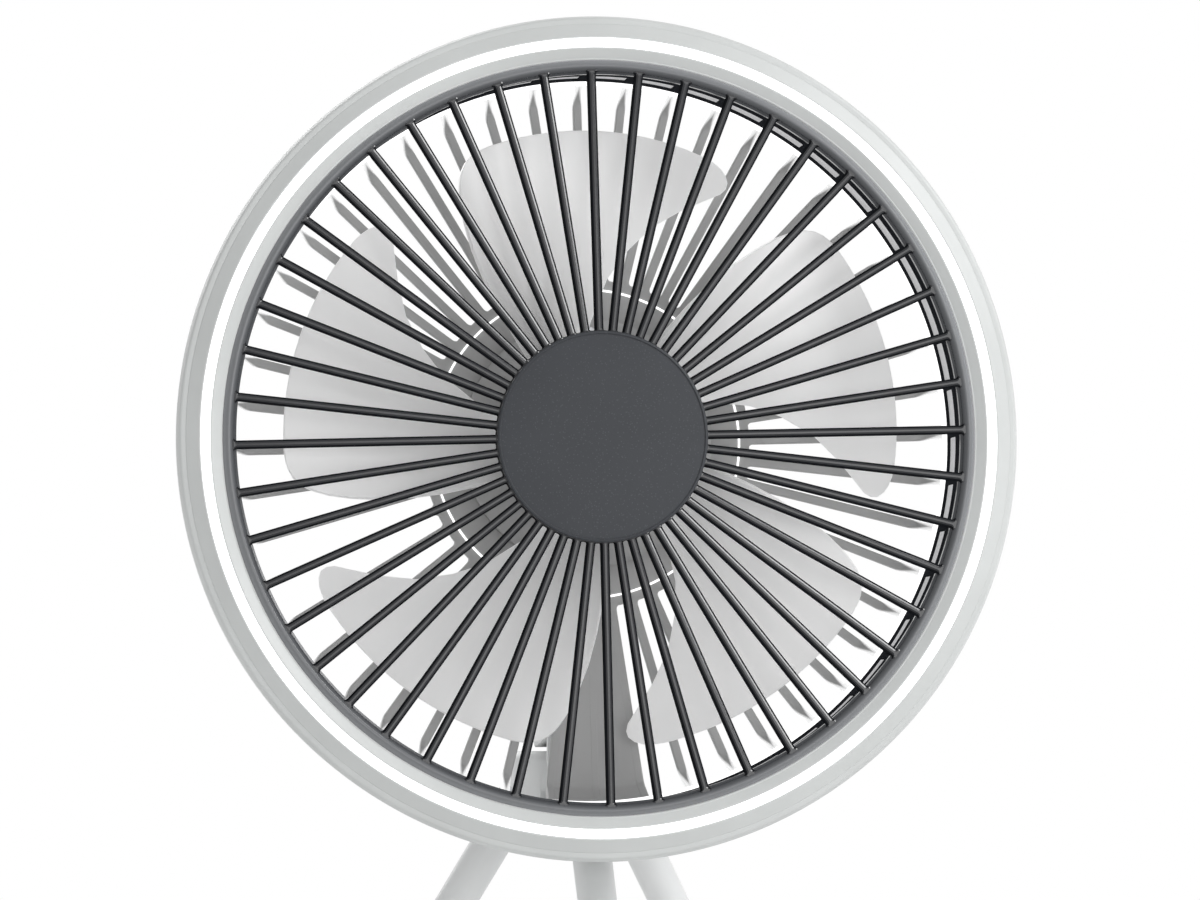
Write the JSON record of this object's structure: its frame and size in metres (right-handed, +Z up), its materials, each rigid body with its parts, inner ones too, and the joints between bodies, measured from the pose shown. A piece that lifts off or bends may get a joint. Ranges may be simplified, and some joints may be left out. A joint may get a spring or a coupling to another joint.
{
  "type": "portable camping fan",
  "caption": "Round battery fan with a ribbed guard, ring light bezel and rear battery pod, tilting on a small folding tripod.",
  "frame": {"origin": "on the floor, at the centre of the whole object as it stands on its open tripod", "axes": "+Z up, the fan blows towards -Y, +X to the right of someone facing it"},
  "size_m": [0.2, 0.172, 0.325],
  "materials": {
    "housing_white": "satin moulded white",
    "grille_slate": "fine matt dark slate",
    "blade_white": "semi-gloss white",
    "light_diffuser": "frosted, lit",
    "leg_grey": "satin light grey",
    "foot_rubber": "matt",
    "screw_steel": "plated",
    "motor_steel": "bright",
    "magnet": "matt sintered",
    "coil_wire": "enamelled copper",
    "circuit_board": "solder mask",
    "led_chip": "phosphor",
    "battery_wrap": "shrink wrap",
    "button_grey": "satin",
    "lens_clear": "translucent",
    "socket_metal": "plated"
  },
  "bodies": {
    "base": {"tripod_hub": "housing_white", "tilt_neck": "housing_white", "neck_screw": "screw_steel", "hub_cap": "housing_white", "tilt_pin": "screw_steel", "friction_washers": "button_grey", "leg_pins": "screw_steel"},
    "head": {"battery_pack": "battery_wrap", "bearing_front": "motor_steel", "bearing_rear": "motor_steel", "bezel_ring": "housing_white", "bracket_screws": "screw_steel", "button_switches": "button_grey", "centre_cap": "grille_slate", "charge_lenses": "lens_clear", "charging_socket": "socket_metal", "front_grille": "grille_slate", "grille_hoop": "grille_slate", "led_board": "circuit_board", "led_chips": "led_chip", "light_diffuser": "light_diffuser", "main_board": "circuit_board", "motor_plate": "blade_white", "plate_screws": "screw_steel", "pod_cover": "housing_white", "pod_screws": "screw_steel", "rear_basket": "housing_white", "ring_screws": "screw_steel", "stator_coils": "coil_wire", "stator_core": "motor_steel", "tilt_bracket": "housing_white"},
    "rotor": {"impeller": "blade_white", "rotor_can": "motor_steel", "magnet_ring": "magnet", "motor_shaft": "motor_steel", "shaft_clip": "screw_steel"},
    "fan_button": {"fan_button": "button_grey"},
    "light_button": {"light_button": "button_grey"},
    "leg_front": {"leg_front": "leg_grey", "foot_front": "foot_rubber"},
    "leg_left": {"leg_left": "leg_grey", "foot_left": "foot_rubber"},
    "leg_right": {"leg_right": "leg_grey", "foot_right": "foot_rubber"}
  },
  "joints": [
    {"name": "head_tilt", "type": "hinge", "parent": "base", "child": "head", "pos_m": [0, 0.02249, 0.159], "axis": [-1, 0, 0], "range_deg": [-5, 60]},
    {"name": "fan_spin", "type": "hinge", "parent": "head", "child": "rotor", "pos_m": [0, -0.03351, 0.225], "axis": [0, 1, 0], "continuous": true},
    {"name": "fan_button_press", "type": "slide", "parent": "head", "child": "fan_button", "axis": [0, -1, 0], "range_m": [0, 0.0006], "stiffness_N_per_m": 1500},
    {"name": "light_button_press", "type": "slide", "parent": "head", "child": "light_button", "axis": [0, -1, 0], "range_m": [0, 0.0006], "stiffness_N_per_m": 1500},
    {"name": "leg_front_fold", "type": "hinge", "parent": "base", "child": "leg_front", "pos_m": [0.00094, 0.00902, 0.141], "axis": [0.9976, 0.0698, 0], "range_deg": [0, 32.6]},
    {"name": "leg_left_fold", "type": "hinge", "parent": "base", "child": "leg_left", "pos_m": [-0.01213, 0.02841, 0.141], "axis": [-0.4384, -0.8988, 0], "range_deg": [0, 32.6]},
    {"name": "leg_right_fold", "type": "hinge", "parent": "base", "child": "leg_right", "pos_m": [0.01119, 0.03004, 0.141], "axis": [-0.5592, 0.829, 0], "range_deg": [0, 32.6]}
  ]
}
